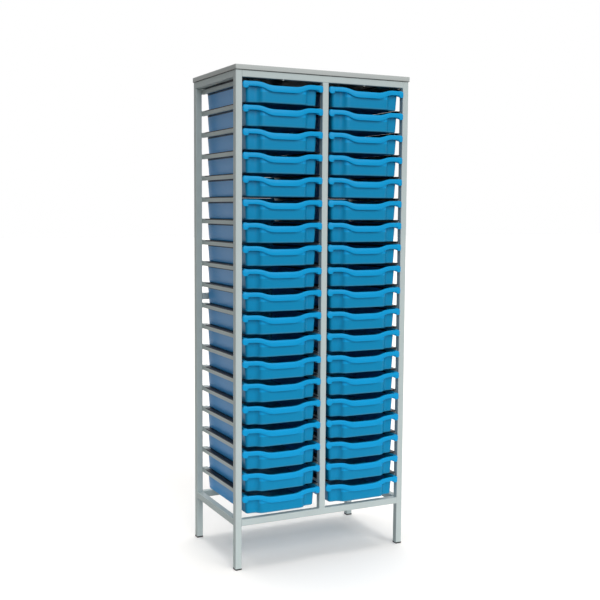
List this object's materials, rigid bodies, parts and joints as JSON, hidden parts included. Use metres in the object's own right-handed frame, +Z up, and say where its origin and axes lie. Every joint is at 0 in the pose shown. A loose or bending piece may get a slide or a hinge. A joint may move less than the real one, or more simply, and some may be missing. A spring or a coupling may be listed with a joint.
{
  "type": "classroom tray storage unit",
  "caption": "Tall free-standing rack on four legs: a square-tube frame with a flat board top and two columns of shallow wavy-lipped trays that slide out on side runners.",
  "frame": {"origin": "on the floor, under the centre of the unit's whole box, tray lips included", "axes": "+Z up, +X to the right seen from the front, the tray fronts face -Y"},
  "size_m": [0.727, 0.457, 1.85],
  "materials": {
    "powder_coat": "satin silver-grey powder coat on steel tube and channel",
    "board": "pale grey melamine-faced particle board with a matching edge band",
    "tray_plastic": "blue injection-moulded polypropylene, soft gloss",
    "foot_plastic": "black moulded plastic glide",
    "screw_steel": "zinc-plated steel"
  },
  "bodies": {
    "frame": {"front_left_post": "powder_coat", "front_middle_post": "powder_coat", "front_right_post": "powder_coat", "rear_left_post": "powder_coat", "rear_middle_post": "powder_coat", "rear_right_post": "powder_coat", "top_front_rail": "powder_coat", "top_rear_rail": "powder_coat", "top_left_rail": "powder_coat", "top_right_rail": "powder_coat", "bottom_front_rail": "powder_coat", "bottom_rear_rail": "powder_coat", "bottom_left_rail": "powder_coat", "bottom_right_rail": "powder_coat", "rear_cross_rails": "powder_coat", "top_panel": "board", "panel_screws": "screw_steel", "feet": "foot_plastic", "left_side_runners": "powder_coat", "left_middle_runners": "powder_coat", "right_middle_runners": "powder_coat", "right_side_runners": "powder_coat"},
    "left_tray_01_body": {"left_tray_01": "tray_plastic"},
    "left_tray_02_body": {"left_tray_02": "tray_plastic"},
    "left_tray_03_body": {"left_tray_03": "tray_plastic"},
    "left_tray_04_body": {"left_tray_04": "tray_plastic"},
    "left_tray_05_body": {"left_tray_05": "tray_plastic"},
    "left_tray_06_body": {"left_tray_06": "tray_plastic"},
    "left_tray_07_body": {"left_tray_07": "tray_plastic"},
    "left_tray_08_body": {"left_tray_08": "tray_plastic"},
    "left_tray_09_body": {"left_tray_09": "tray_plastic"},
    "left_tray_10_body": {"left_tray_10": "tray_plastic"},
    "left_tray_11_body": {"left_tray_11": "tray_plastic"},
    "left_tray_12_body": {"left_tray_12": "tray_plastic"},
    "left_tray_13_body": {"left_tray_13": "tray_plastic"},
    "left_tray_14_body": {"left_tray_14": "tray_plastic"},
    "left_tray_15_body": {"left_tray_15": "tray_plastic"},
    "left_tray_16_body": {"left_tray_16": "tray_plastic"},
    "left_tray_17_body": {"left_tray_17": "tray_plastic"},
    "left_tray_18_body": {"left_tray_18": "tray_plastic"},
    "left_tray_19_body": {"left_tray_19": "tray_plastic"},
    "right_tray_01_body": {"right_tray_01": "tray_plastic"},
    "right_tray_02_body": {"right_tray_02": "tray_plastic"},
    "right_tray_03_body": {"right_tray_03": "tray_plastic"},
    "right_tray_04_body": {"right_tray_04": "tray_plastic"},
    "right_tray_05_body": {"right_tray_05": "tray_plastic"},
    "right_tray_06_body": {"right_tray_06": "tray_plastic"},
    "right_tray_07_body": {"right_tray_07": "tray_plastic"},
    "right_tray_08_body": {"right_tray_08": "tray_plastic"},
    "right_tray_09_body": {"right_tray_09": "tray_plastic"},
    "right_tray_10_body": {"right_tray_10": "tray_plastic"},
    "right_tray_11_body": {"right_tray_11": "tray_plastic"},
    "right_tray_12_body": {"right_tray_12": "tray_plastic"},
    "right_tray_13_body": {"right_tray_13": "tray_plastic"},
    "right_tray_14_body": {"right_tray_14": "tray_plastic"},
    "right_tray_15_body": {"right_tray_15": "tray_plastic"},
    "right_tray_16_body": {"right_tray_16": "tray_plastic"},
    "right_tray_17_body": {"right_tray_17": "tray_plastic"},
    "right_tray_18_body": {"right_tray_18": "tray_plastic"},
    "right_tray_19_body": {"right_tray_19": "tray_plastic"}
  },
  "joints": [
    {"name": "left_tray_01_slide", "type": "slide", "parent": "frame", "child": "left_tray_01_body", "axis": [0, -1, 0], "range_m": [0, 0.38]},
    {"name": "left_tray_02_slide", "type": "slide", "parent": "frame", "child": "left_tray_02_body", "axis": [0, -1, 0], "range_m": [0, 0.38]},
    {"name": "left_tray_03_slide", "type": "slide", "parent": "frame", "child": "left_tray_03_body", "axis": [0, -1, 0], "range_m": [0, 0.38]},
    {"name": "left_tray_04_slide", "type": "slide", "parent": "frame", "child": "left_tray_04_body", "axis": [0, -1, 0], "range_m": [0, 0.38]},
    {"name": "left_tray_05_slide", "type": "slide", "parent": "frame", "child": "left_tray_05_body", "axis": [0, -1, 0], "range_m": [0, 0.38]},
    {"name": "left_tray_06_slide", "type": "slide", "parent": "frame", "child": "left_tray_06_body", "axis": [0, -1, 0], "range_m": [0, 0.38]},
    {"name": "left_tray_07_slide", "type": "slide", "parent": "frame", "child": "left_tray_07_body", "axis": [0, -1, 0], "range_m": [0, 0.38]},
    {"name": "left_tray_08_slide", "type": "slide", "parent": "frame", "child": "left_tray_08_body", "axis": [0, -1, 0], "range_m": [0, 0.38]},
    {"name": "left_tray_09_slide", "type": "slide", "parent": "frame", "child": "left_tray_09_body", "axis": [0, -1, 0], "range_m": [0, 0.38]},
    {"name": "left_tray_10_slide", "type": "slide", "parent": "frame", "child": "left_tray_10_body", "axis": [0, -1, 0], "range_m": [0, 0.38]},
    {"name": "left_tray_11_slide", "type": "slide", "parent": "frame", "child": "left_tray_11_body", "axis": [0, -1, 0], "range_m": [0, 0.38]},
    {"name": "left_tray_12_slide", "type": "slide", "parent": "frame", "child": "left_tray_12_body", "axis": [0, -1, 0], "range_m": [0, 0.38]},
    {"name": "left_tray_13_slide", "type": "slide", "parent": "frame", "child": "left_tray_13_body", "axis": [0, -1, 0], "range_m": [0, 0.38]},
    {"name": "left_tray_14_slide", "type": "slide", "parent": "frame", "child": "left_tray_14_body", "axis": [0, -1, 0], "range_m": [0, 0.38]},
    {"name": "left_tray_15_slide", "type": "slide", "parent": "frame", "child": "left_tray_15_body", "axis": [0, -1, 0], "range_m": [0, 0.38]},
    {"name": "left_tray_16_slide", "type": "slide", "parent": "frame", "child": "left_tray_16_body", "axis": [0, -1, 0], "range_m": [0, 0.38]},
    {"name": "left_tray_17_slide", "type": "slide", "parent": "frame", "child": "left_tray_17_body", "axis": [0, -1, 0], "range_m": [0, 0.38]},
    {"name": "left_tray_18_slide", "type": "slide", "parent": "frame", "child": "left_tray_18_body", "axis": [0, -1, 0], "range_m": [0, 0.38]},
    {"name": "left_tray_19_slide", "type": "slide", "parent": "frame", "child": "left_tray_19_body", "axis": [0, -1, 0], "range_m": [0, 0.38]},
    {"name": "right_tray_01_slide", "type": "slide", "parent": "frame", "child": "right_tray_01_body", "axis": [0, -1, 0], "range_m": [0, 0.38]},
    {"name": "right_tray_02_slide", "type": "slide", "parent": "frame", "child": "right_tray_02_body", "axis": [0, -1, 0], "range_m": [0, 0.38]},
    {"name": "right_tray_03_slide", "type": "slide", "parent": "frame", "child": "right_tray_03_body", "axis": [0, -1, 0], "range_m": [0, 0.38]},
    {"name": "right_tray_04_slide", "type": "slide", "parent": "frame", "child": "right_tray_04_body", "axis": [0, -1, 0], "range_m": [0, 0.38]},
    {"name": "right_tray_05_slide", "type": "slide", "parent": "frame", "child": "right_tray_05_body", "axis": [0, -1, 0], "range_m": [0, 0.38]},
    {"name": "right_tray_06_slide", "type": "slide", "parent": "frame", "child": "right_tray_06_body", "axis": [0, -1, 0], "range_m": [0, 0.38]},
    {"name": "right_tray_07_slide", "type": "slide", "parent": "frame", "child": "right_tray_07_body", "axis": [0, -1, 0], "range_m": [0, 0.38]},
    {"name": "right_tray_08_slide", "type": "slide", "parent": "frame", "child": "right_tray_08_body", "axis": [0, -1, 0], "range_m": [0, 0.38]},
    {"name": "right_tray_09_slide", "type": "slide", "parent": "frame", "child": "right_tray_09_body", "axis": [0, -1, 0], "range_m": [0, 0.38]},
    {"name": "right_tray_10_slide", "type": "slide", "parent": "frame", "child": "right_tray_10_body", "axis": [0, -1, 0], "range_m": [0, 0.38]},
    {"name": "right_tray_11_slide", "type": "slide", "parent": "frame", "child": "right_tray_11_body", "axis": [0, -1, 0], "range_m": [0, 0.38]},
    {"name": "right_tray_12_slide", "type": "slide", "parent": "frame", "child": "right_tray_12_body", "axis": [0, -1, 0], "range_m": [0, 0.38]},
    {"name": "right_tray_13_slide", "type": "slide", "parent": "frame", "child": "right_tray_13_body", "axis": [0, -1, 0], "range_m": [0, 0.38]},
    {"name": "right_tray_14_slide", "type": "slide", "parent": "frame", "child": "right_tray_14_body", "axis": [0, -1, 0], "range_m": [0, 0.38]},
    {"name": "right_tray_15_slide", "type": "slide", "parent": "frame", "child": "right_tray_15_body", "axis": [0, -1, 0], "range_m": [0, 0.38]},
    {"name": "right_tray_16_slide", "type": "slide", "parent": "frame", "child": "right_tray_16_body", "axis": [0, -1, 0], "range_m": [0, 0.38]},
    {"name": "right_tray_17_slide", "type": "slide", "parent": "frame", "child": "right_tray_17_body", "axis": [0, -1, 0], "range_m": [0, 0.38]},
    {"name": "right_tray_18_slide", "type": "slide", "parent": "frame", "child": "right_tray_18_body", "axis": [0, -1, 0], "range_m": [0, 0.38]},
    {"name": "right_tray_19_slide", "type": "slide", "parent": "frame", "child": "right_tray_19_body", "axis": [0, -1, 0], "range_m": [0, 0.38]}
  ]
}
